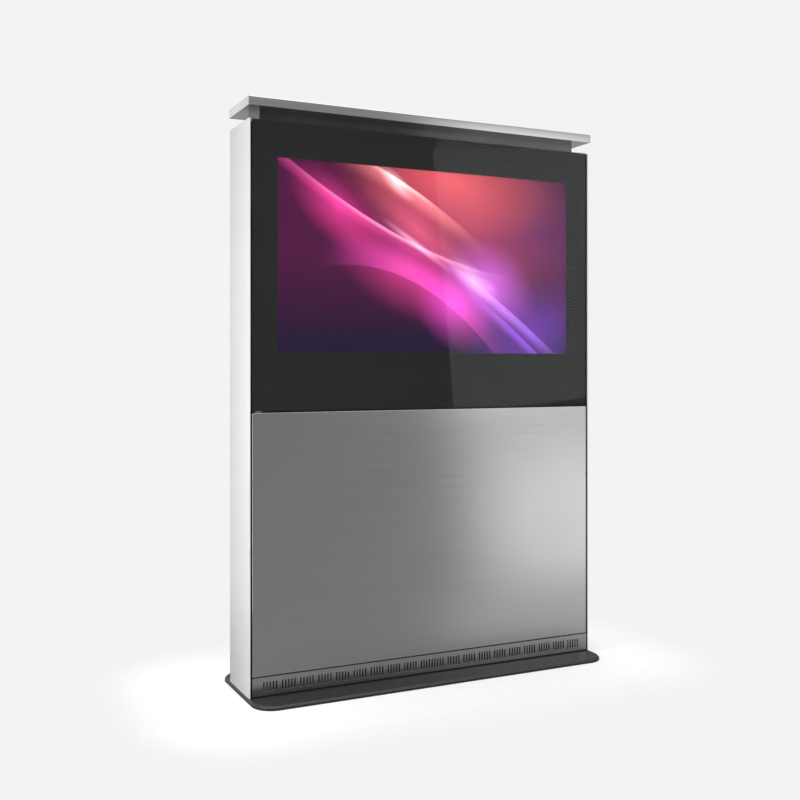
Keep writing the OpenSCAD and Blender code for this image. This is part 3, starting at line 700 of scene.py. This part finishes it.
def floor_white():
    """Matt white that fades to nothing. The distance from the base plate is the length of what is left of the
    position, made positive on each axis, once half the plate's size is taken away and nothing is below zero.
    Mirrored in the metal it is a darker grey, as a matt cloth laid before the object would be."""
    f = Finish("floor_white", (0.86, 0.86, 0.86), 0.9)
    f.set("Specular IOR Level", 0.0)
    half = corners_of("base_plate")[1]
    step = f.point
    for operation, other in (("ABSOLUTE", None), ("SUBTRACT", (half[0], half[1], 0)),
                             ("MAXIMUM", (0, 0, 0)), ("LENGTH", None)):
        move = f.node("ShaderNodeVectorMath", Vector=step)
        move.operation = operation
        if other:
            move.inputs[1].default_value = other
        step = move.outputs[0]
    fade = f.node("ShaderNodeMapRange", Value=move.outputs["Value"])
    fade.interpolation_type = "SMOOTHSTEP"
    fade.inputs["From Max"].default_value = FADE_OUT
    gone = f.node("ShaderNodeBsdfTransparent")
    ray = f.node("ShaderNodeLightPath")
    f.set("Base Color", f.blend(ray.outputs["Is Glossy Ray"], (0.80, 0.80, 0.80), (0.34, 0.34, 0.34)))
    f.set("Emission Color", (0.9, 0.9, 0.9, 1))
    f.set("Emission Strength", f.sum("MULTIPLY", ray.outputs["Is Camera Ray"], 0.16))
    mixed = f.node("ShaderNodeMixShader")
    f.feed(mixed.inputs[0], fade.outputs[0])
    f.feed(mixed.inputs[1], f.shader.outputs[0])
    f.feed(mixed.inputs[2], gone.outputs[0])
    f.feed(f.tree.nodes["Material Output"].inputs["Surface"], mixed.outputs[0])
    return f.material


FLOOR_WHITE = floor_white()
print(FLOOR_WHITE.name)

# %% [markdown]
# ### The floor's disc
#
# A disc has the same edge from every side, so no view shows a corner. It is part of the stage and doesn't
# belong to the object.

# %% Floor
def studio_floor(reach=2.0, around=128):
    """A flat disc: an outer and a tiny inner circle, each a radius times the cosine and sine of an angle."""
    a = np.arange(around) * 2 * math.pi / around
    radii = np.array([reach, 0.01])
    rings = radii[:, None, None] * np.stack([np.cos(a), np.sin(a), 0 * a], -1)[None]
    points, faces = joined(rings, (False, True))
    mesh = bpy.data.meshes.new("studio_floor")
    mesh.from_pydata(points.tolist(), [], faces)
    mesh.materials.append(FLOOR_WHITE)
    floor = bpy.data.objects.new("studio_floor", mesh)
    scene.collection.objects.link(floor)
    return floor


print("floor radius", round(max(studio_floor().dimensions) / 2, 2))

# %% [markdown]
# ## Front glass and its border
#
# The glass is toughened float glass. Its edges are ground to a small arris, because a sharp one would chip,
# and that arris is what catches a thin line of light. It is a plate with a tiny rounded profile, and a hair
# of air between it and the print keeps two faces from lying in the same place. The border print stays as
# the CAD made it, a thin frame on the back of the glass.

# %% Front glass
low, high = corners_of("front_glass")
ARRIS = 0.0009
AIR = 0.0002
GLASS_CORNER = 0.0015
edge_profile = rounded(AIR, high[1] - low[1], ARRIS)
glass = piece("front_glass_ground", facing_plate("front_glass", GLASS_CORNER, edge_profile, "front", high[1]),
              "display_door", GLASS, ["front_glass"])
print("glass", [round(v, 3) for v in glass.dimensions])

# %% [markdown]
# ## The lit picture
#
# A switched-on screen is a light source, so its material is mostly emission. The picture is a soft
# abstract: dark violet at the edges, a warm red cloud above, a magenta glow in the middle, and bands of light
# that fall from the upper left. Each glow is one gradient node stretched into an ellipse, and each band is
# a glow across a bent coordinate, hard above and soft below like folded silk.

# %% Picture kit
class Picture(Finish):
    """A glowing picture in its own coordinates: u from -1 to 1 across, and v upwards to the same scale."""

    def __init__(self, name, centre, half_width):
        super().__init__(name, (0.0, 0.0, 0.0), 0.25)
        self.set("Specular IOR Level", 0.0)
        where = self.node("ShaderNodeSeparateXYZ", Vector=self.point)
        self.u = self.sum("DIVIDE", self.sum("SUBTRACT", where.outputs["X"], centre[0]), half_width)
        self.v = self.sum("DIVIDE", self.sum("SUBTRACT", where.outputs["Z"], centre[2]), half_width)
        self.plain = self.node("ShaderNodeCombineXYZ", X=self.u, Y=self.v).outputs[0]
        self.colour = None

    def add(self, share, colour, kind="ADD"):
        """Lays a colour over what is there, by a share."""
        self.colour = self.blend(share, self.colour, colour, kind)

    def glow(self, place, size, turn, colour, power=1.6, strength=1.0):
        """A soft elliptical glow: one minus the distance from its middle, in its own size and turn, raised to
        a power."""
        made = self.node("ShaderNodeMapping", Vector=self.plain)
        made.vector_type = "TEXTURE"
        made.inputs["Location"].default_value = (*place, 0)
        made.inputs["Rotation"].default_value = (0, 0, math.radians(turn))
        made.inputs["Scale"].default_value = (*size, 1)
        ball = self.node("ShaderNodeTexGradient", Vector=made.outputs[0])
        ball.gradient_type = "SPHERICAL"
        share = self.sum("MULTIPLY", self.sum("POWER", ball.outputs["Fac"], power), strength)
        self.add(share, colour)

    def eased(self, value, start, end, first, last, kind):
        """A value from start to end carried over to first to last, leaving and arriving gently."""
        made = self.node("ShaderNodeMapRange", Value=value)
        made.interpolation_type = kind
        for key, number in (("From Min", start), ("From Max", end), ("To Min", first), ("To Max", last)):
            made.inputs[key].default_value = number
        return made.outputs[0]

    def band(self, start, slope, bend, soft, hard, middle, reach, colour, strength=1.0):
        """A band of light along v = start + slope u + bend u u: soft below it, hard above it, and fading
        with distance from its middle."""
        line = self.sum("MULTIPLY_ADD", self.u, slope, start)
        line = self.sum("MULTIPLY_ADD", self.sum("MULTIPLY", self.u, self.u), bend, line)
        off = self.sum("SUBTRACT", self.v, line)
        away = self.sum("ABSOLUTE", self.sum("SUBTRACT", self.u, middle))
        below = self.eased(off, -soft, 0.0, 0.0, 1.0, "SMOOTHERSTEP")
        above = self.eased(off, 0.0, hard, 1.0, 0.0, "SMOOTHERSTEP")
        along = self.eased(away, 0.0, reach, 1.0, 0.0, "SMOOTHSTEP")
        share = self.sum("MULTIPLY", self.sum("MULTIPLY", below, above), along)
        self.add(self.sum("MULTIPLY", share, strength), colour)


print("picture kit ready")

# %% [markdown]
# ### What the picture shows
#
# The layers are listed from the ground up, because each is added to the light of those before. A glow's row
# is its middle, size, turn in degrees, colour, power and strength. A band's row is its line, then how far it
# reaches below and above that line, its middle and reach along u, its colour and its strength.

# %% Picture layers
GLOWS = [
    ((0.14, 0.52), (0.86, 0.36), -8, (0.88, 0.12, 0.10), 1.2, 1.0),
    ((0.30, 0.22), (0.72, 0.36), -25, (0.36, 0.04, 0.08), 1.3, 1.0),
    ((-0.62, 0.28), (0.40, 0.20), -38, (0.80, 0.04, 0.26), 1.4, 1.0),
    ((-0.14, -0.06), (0.60, 0.30), -24, (0.74, 0.05, 0.26), 1.4, 1.0),
    ((-0.10, 0.20), (0.52, 0.17), -33, (0.90, 0.14, 0.22), 1.3, 0.8),
    ((0.16, -0.27), (0.34, 0.26), -42, (0.85, 0.07, 0.62), 1.4, 1.0),
    ((0.42, -0.14), (0.40, 0.30), -35, (0.80, 0.16, 0.95), 1.5, 1.0),
    ((0.72, -0.44), (0.55, 0.34), 20, (0.16, 0.03, 0.42), 1.3, 1.0),
    ((0.84, 0.16), (0.50, 0.50), 0, (0.07, 0.006, 0.07), 1.3, 1.0),
]
BANDS_OF_LIGHT = [
    (0.055, -0.36, 0.19, 0.10, 0.010, -0.60, 0.80, (0.90, 0.07, 0.36), 0.60),
    (0.060, -0.36, 0.19, 0.035, 0.008, -0.20, 0.85, (1.00, 0.50, 0.72), 0.60),
    (0.360, -0.60, -0.20, 0.14, 0.016, -0.15, 0.60, (1.00, 0.30, 0.30), 0.70),
    (0.365, -0.60, -0.20, 0.04, 0.012, -0.20, 0.30, (1.00, 0.85, 0.85), 0.60),
    (0.080, -0.60, -0.12, 0.10, 0.012, 0.50, 0.60, (0.55, 0.28, 1.00), 0.60),
    (0.010, -0.62, -0.16, 0.09, 0.010, 0.60, 0.50, (0.40, 0.14, 0.90), 0.50),
    (-0.185, -0.58, -0.55, 0.012, 0.24, -0.05, 0.75, (0.62, 0.06, 0.42), 0.75),
]
SPARKS = [
    ((-0.24, 0.47), (0.16, 0.06), -40, (0.80, 0.75, 0.80), 1.4, 1.0),
    ((-0.10, 0.10), (0.30, 0.03), -33, (0.9, 0.50, 0.70), 1.5, 1.0),
    ((0.30, -0.10), (0.24, 0.09), -35, (0.7, 0.50, 0.70), 1.5, 1.0),
]


def abstract_picture(centre, half_width):
    """The whole picture, from its ground to its brightest sparks."""
    p = Picture("lit_picture", centre, half_width)
    rise = p.spread(p.v, 0.0, 1.0, -0.5, 0.0)
    p.colour = p.blend(rise, (0.016, 0.007, 0.036), (0.085, 0.006, 0.052))
    for row in GLOWS:
        p.glow(*row)
    for row in BANDS_OF_LIGHT:
        p.band(*row)
    for row in SPARKS:
        p.glow(*row)
    p.set("Emission Color", p.colour)
    p.set("Emission Strength", 1.0)
    return p.material


print("layers", len(GLOWS) + len(BANDS_OF_LIGHT) + len(SPARKS))

# %% [markdown]
# ### The screen itself
#
# The lit cell is a thin plate with a slightly eased edge, as a panel's glass has. The picture is centred on
# it and scaled to half its width, so it fills the opening in the border.

# %% Lit screen
low, high = corners_of("display_cell")
HALF_PICTURE = 0.605
SCREEN_EDGE = 0.0003
picture_centre = (low + high) / 2
PICTURE = abstract_picture(picture_centre, HALF_PICTURE)
edge_profile = rounded(0, high[1] - low[1], SCREEN_EDGE, 2)
piece("lit_screen", facing_plate("display_cell", 0.001, edge_profile, "front", high[1]),
      "display_door", PICTURE, ["display_cell"])
print("picture centre", np.round(picture_centre, 3))

# %% [markdown]
# ## Side panels
#
# Each side is one sheet, with its front edge rolled inwards so that no cut edge shows. Its section is drawn
# once, as an outer path and an inner path one sheet thickness apart, and carried straight up. The right
# side is the same section seen in a mirror, with its points taken in the opposite order, so that its
# faces still point outwards.

# %% Side panels
SHEET = 0.003
ROLL = 0.004
LIP = 0.005
CUT_EDGE = 0.0004


def rolled_section(x, front, back, side):
    """A sheet along Y at x, with a short lip at the front. The roll is a quarter circle outside, and inside a
    smaller one about the same centre. side is -1 on the left and 1 on the right."""
    a = np.linspace(0, math.pi / 2, 9)
    turn = np.stack([1 - np.cos(a), 1 - np.sin(a)], -1)
    outer = np.concatenate([[[0, back - front]], ROLL * turn, [[LIP, 0]]])
    inner_turn = ROLL - (ROLL - SHEET) * np.stack([np.cos(a), np.sin(a)], -1)
    inner = np.concatenate([[[SHEET, back - front]], inner_turn, [[LIP, SHEET]]])[::-1]
    path = np.concatenate([outer, inner])
    path[:, 0] = x - side * path[:, 0]
    path[:, 1] += front
    return path if side < 0 else path[::-1]


for node, side in (("side_panel_left", -1), ("side_panel_right", 1)):
    low, high = corners_of(node)
    section = rolled_section(low[0] if side < 0 else high[0], low[1], high[1], side)
    made = piece(node + "_sheet", upright(section, low[2], high[2]), "cabinet", SILVER, [node],
                 soften=CUT_EDGE)
    print(made.name, [round(v, 3) for v in made.dimensions])

# %% [markdown]
# ## Brushed door
#
# The service door is a tray: one sheet with its edges bent back. A bend in 2 mm aluminium has an outer radius
# of about 2 mm, and that soft edge is what gives the panel its bright outline.

# %% Brushed door
DOOR_SHEET, DOOR_CORNER, DOOR_BEND = 0.002, 0.0025, 0.0019
low, high = corners_of("service_door_skin")
door_profile = tray(DOOR_SHEET, high[1] - low[1], DOOR_BEND)
made = piece("service_door_sheet",
             facing_plate("service_door_skin", DOOR_CORNER, door_profile, "front", low[1]),
             "service_door", DOOR_GREY, ["service_door_skin"])
print(made.name, [round(v, 3) for v in made.dimensions])

# %% [markdown]
# ## Hood
#
# The hood is a deeper tray of thicker sheet, laid on top with its open side down. Its bend is wider, and
# draws the pale line along its upper edge. It takes the same profile as the door, with other numbers.

# %% Hood
HOOD_SHEET, HOOD_CORNER, HOOD_BEND = 0.003, 0.003, 0.0026
low, high = corners_of("hood_shell")
hood_profile = tray(HOOD_SHEET, high[2] - low[2], HOOD_BEND)
made = piece("hood_cover", facing_plate("hood_shell", HOOD_CORNER, hood_profile, "up", high[2]),
             "cabinet", HOOD_GREY, ["hood_shell"])
print(made.name, [round(v, 3) for v in made.dimensions])

# %% [markdown]
# ## Slot lips
#
# The strip at the foot keeps its CAD shape, because its slots are cut there. A pressed slot pushes its rim a
# little proud of the sheet, and that rim catches light. One lip is worked out and then copied to every slot,
# which costs little, because a lip is only a hundred or so faces.

# %% Slot lips
SLOT = (0.005, 0.035)
SLOT_MIDDLE = 0.014 + 0.035
PITCH, GROUP_PITCH, GROUPS = 0.0114, 0.0679, 9
MIDDLE_SLOTS, GROUP_SLOTS = 9, 5
HAIR = 0.00001
SINK = 0.0002


def slot_places():
    """X of every slot: the middle ones a pitch apart about zero, and groups of five whose outer slots are a
    group pitch apart, counted outwards from the middle ones on both sides."""
    reach = (MIDDLE_SLOTS - 1) // 2
    middle = (np.arange(MIDDLE_SLOTS) - reach) * PITCH
    outer = reach * PITCH + (np.arange(GROUPS) + 1)[:, None] * GROUP_PITCH
    group = outer - np.arange(GROUP_SLOTS)[None] * PITCH
    return np.sort(np.concatenate([middle, group.ravel(), -group.ravel()]))


def slot_lip(stand=0.0004, wall=0.0007, depth=0.0024):
    """One slot's rolled lip, facing front. Its outline is the slot's, moved in by each step of a profile that
    rises from the face, goes over the edge, down inside the slot and back up within the sheet."""
    half = wall * 0.5
    profile = [(-wall, 0.0), (-half, stand), (0.0, stand * 0.8), (half, 0.0), (half, -depth), (-half, -depth)]
    edge, out = outline(SLOT[0], SLOT[1], SLOT[0] / 2 - HAIR, 4)
    profile = np.array(profile)
    flat = edge[None] - profile[:, None, :1] * out[None]
    level = np.broadcast_to(profile[:, None, 1:], flat.shape[:2] + (1,))
    return joined(np.concatenate([flat, level], -1), (False, False), loop=True)


def lips_at(node, z):
    """The lips of a whole row of slots in the front face of a node."""
    low, high = corners_of(node)
    points, faces = slot_lip()
    across = slot_places()
    places = np.stack([across, np.full(len(across), low[1] + SINK), np.full(len(across), z)], -1)
    return copies((face_to(points, "front"), faces), places)


made = piece("slot_lips", lips_at("vent_strip", SLOT_MIDDLE), "cabinet", DOOR_GREY)
print("slots", len(slot_places()), "faces", len(made.data.polygons))

# %% [markdown]
# ## Materials of the rest
#
# The pieces that keep their CAD shape still get a finish each. Zinc grows in crystals, each of which turns
# the light its own way: large ones on galvanised sheet, and very fine ones on plated screws. Cells with a
# random colour each give both, and only their size differs.

# %% Zinc
def zinc(name, dark, light, spangle=60.0, rough=(0.28, 0.45)):
    """Zinc: crystals with a random shade and roughness each, rubbed 1.3 times brighter along the edges."""
    f = Finish(name, metallic=1.0)
    f.soften()
    crystal = f.node("ShaderNodeTexVoronoi", Vector=f.point, Scale=spangle)
    shade = f.node("ShaderNodeSeparateColor", Color=crystal.outputs["Color"])
    bright = tuple(min(1.0, 1.3 * tone) for tone in light)
    crystals = f.blend(shade.outputs[0], dark, light)
    f.set("Base Color", f.blend(f.sum("MULTIPLY", f.edge(0.001), 0.5), crystals, bright))
    f.set("Roughness", f.spread(shade.outputs[1], *rough))
    f.bump(f.noise(700, 2.0), 0.00003)
    return f.material


print("zinc ready")

# %% [markdown]
# ### A vented case
#
# A power supply sits in thin sheet pressed full of round holes. Hundreds of real holes would cost more than
# they show, so the pattern is arithmetic: the distance to the middle of a square that repeats. Where it is
# under a third of the square it is painted near black, as painted shade for the inside of the case. It is
# let through on the front and back faces alone.

# %% Vented case
def perforated(name, pitch=0.008, dark=(0.34, 0.345, 0.35), light=(0.44, 0.445, 0.45)):
    """Thin pressed sheet with rows of round air holes, painted near black as the shade inside the case. With
    the position divided by the pitch, a point's distance from the middle of its square is the root of the sum
    of the squares of what the fractions differ from a half."""
    f = Finish(name, metallic=1.0)
    f.soften(0.0008)
    place = f.node("ShaderNodeSeparateXYZ", Vector=f.point)
    across, rise = (f.sum("SUBTRACT", f.sum("FRACT", f.sum("DIVIDE", place.outputs[axis], pitch)), 0.5)
                    for axis in ("X", "Z"))
    away = f.sum("SQRT", f.sum("ADD", f.sum("MULTIPLY", across, across), f.sum("MULTIPLY", rise, rise)))
    facing = f.node("ShaderNodeSeparateXYZ", Vector=f.node("ShaderNodeNewGeometry").outputs["Normal"])
    flat = f.spread(f.sum("ABSOLUTE", facing.outputs["Y"]), 0.0, 1.0, 0.85, 0.95)
    hole = f.sum("MULTIPLY", f.spread(away, 1.0, 0.0, 0.27, 0.32), flat)
    sheet = f.blend(f.noise(60.0, 4.0), dark, light)
    # Painted shade: the holes are painted near black, for the dark inside seen through them.
    f.set("Base Color", f.blend(hole, sheet, (0.008, 0.008, 0.008)))
    dull = f.sum("MULTIPLY", hole, 0.4)
    f.set("Roughness", f.sum("ADD", f.spread(f.noise(35.0, 3.0), 0.28, 0.40), dull))
    f.bump(f.sum("SUBTRACT", 1.0, hole), 0.0004)
    return f.material


print("vented case ready")

# %% [markdown]
# ### Plastic, rubber and foam
#
# Moulded plastic copies the spark-eroded skin of its mould and is shinier where hands have been. Sponge
# rubber and filter foam are the same idea at two sizes: cells, with painted shade in their hollows.

# %% Plastic and foam
def moulded(name, dark, light, rough=(0.42, 0.58), grain=1500.0):
    """Moulded plastic: spark-eroded skin, a faint cloud of shine, and rounded edges rubbed a little paler."""
    f = Finish(name)
    f.soften()
    skin = f.noise(grain, 2.0)
    pale = tuple(tone * 1.25 + 0.01 for tone in light)
    body = f.blend(f.spread(f.noise(12, 4.0), 0.0, 1.0, 0.35, 0.7), dark, light)
    f.set("Base Color", f.blend(f.sum("MULTIPLY", f.edge(0.0012), 0.5), body, pale))
    f.set("Roughness", f.spread(f.noise(20, 4.0), *rough, 0.35, 0.7))
    f.bump(skin, 0.00005)
    return f.material


def sponge(name, dark, light, cell=900.0, depth=0.0003):
    """Sponge: scattered pits, with painted shade in the hollows."""
    f = Finish(name, roughness=0.9)
    pit = f.cells(cell)
    # Painted shade: the pits are darker where they are deepest.
    f.set("Base Color", f.blend(f.spread(pit, 0.0, 1.0, 0.1, 0.6), dark, light))
    f.bump(pit, depth)
    return f.material


print("plastic and foam ready")

# %% [markdown]
# ### The neck's dark satin
#
# The recessed neck is dark, and yet it mirrors the cards in a soft band. A dark metallic paint does that: a
# metal's colour is the colour of what it mirrors, so a dark metal gives a dim mirror.

# %% Neck
def satin_dark(name="satin_dark"):
    """The neck: dark satin metal paint with a strong soft sheen."""
    f = Finish(name, metallic=1.0)
    cloud = f.noise(6.0, 4.0)
    shade = f.spread(cloud, 0.0, 1.0, 0.35, 0.7)
    f.set("Base Color", f.blend(shade, (0.078, 0.079, 0.08), (0.095, 0.096, 0.098)))
    f.set("Roughness", f.spread(cloud, 0.15, 0.20, 0.3, 0.7))
    f.bump(f.noise(900, 2.0), 0.00005)
    return f.material


DARK_NECK = satin_dark()
print(DARK_NECK.name)

# %% [markdown]
# ### The touch film
#
# The film behind the glass carries conductors too fine to see. It is there, rather than left out, because
# it shows when the sheet is looked at on its own. Its opacity is next to nothing.

# %% Touch film
def touch_sheet():
    """Clear film with a barely visible grid of conductors: almost nothing of it is opaque."""
    f = Finish("touch_film", (0.5, 0.52, 0.55), 0.2)
    f.set("Roughness", f.spread(f.cells(160.0), 0.15, 0.3, 0.5, 0.7))
    f.set("Alpha", 0.004)
    return f.material


FILM = touch_sheet()
print(FILM.name)

# %% [markdown]
# ### One finish for each slot
#
# The record names a material slot for every node, so one table from slot to finish dresses the whole
# cabinet, and a node that is added later with a known slot is dressed too.

# %% Table of finishes
FINISHES = {
    "dark_base": CHARCOAL, "black_frame": BLACK_COAT, "silver_panel": SILVER, "grey_front": DOOR_GREY,
    "hood_silver": HOOD_GREY, "dark_neck": DARK_NECK, "black_print": PRINT, "glass_clear": GLASS,
    "steel": zinc("zinc_plate", (0.42, 0.42, 0.43), (0.56, 0.56, 0.55), 300.0),
    "galvanised": zinc("galvanised_sheet", (0.46, 0.47, 0.48), (0.62, 0.63, 0.64)),
    "lock_steel": zinc("satin_chrome", (0.60, 0.60, 0.61), (0.66, 0.66, 0.67), 900.0, (0.16, 0.24)),
    "kit_case": perforated("vented_case"),
    "nylon": moulded("black_nylon", (0.014, 0.014, 0.016), (0.022, 0.022, 0.024)),
    "fan_black": moulded("fan_plastic", (0.012, 0.012, 0.013), (0.020, 0.020, 0.021)),
    "kit_black": brushed("black_fins", (0.03, 0.031, 0.033), (0.05, 0.051, 0.053), (0.32, 0.4), 2),
    "kit_plastic": moulded("grey_plastic", (0.55, 0.56, 0.56), (0.63, 0.635, 0.63)),
    "case_grey": moulded("module_coat", (0.10, 0.105, 0.11), (0.135, 0.14, 0.145)),
    "toggle_blue": moulded("blue_plastic", (0.012, 0.07, 0.30), (0.02, 0.10, 0.36), (0.25, 0.35)),
    "knob_red": moulded("red_plastic", (0.42, 0.03, 0.02), (0.5, 0.045, 0.03), (0.25, 0.35)),
    "seal_rubber": sponge("sponge_rubber", (0.006, 0.006, 0.006), (0.016, 0.016, 0.016)),
    "film": FILM,
    "panel_cell": PICTURE,
    "filter_foam": sponge("filter_foam", (0.006, 0.0065, 0.007), (0.045, 0.047, 0.05), 330.0, 0.0012),
}
SLOT_OF = {s["node"]: s["material_slot"] for s in frame["record"]["subparts"]}
for node, thing in NODES.items():
    thing.data.materials.clear()
    thing.data.materials.append(FINISHES[SLOT_OF[node]])
print("finishes", len(FINISHES))

# %% [markdown]
# ## Pieces made
#
# The last step prints how many pieces were made.

# %% Pieces made
print("pieces made", len(MADE))
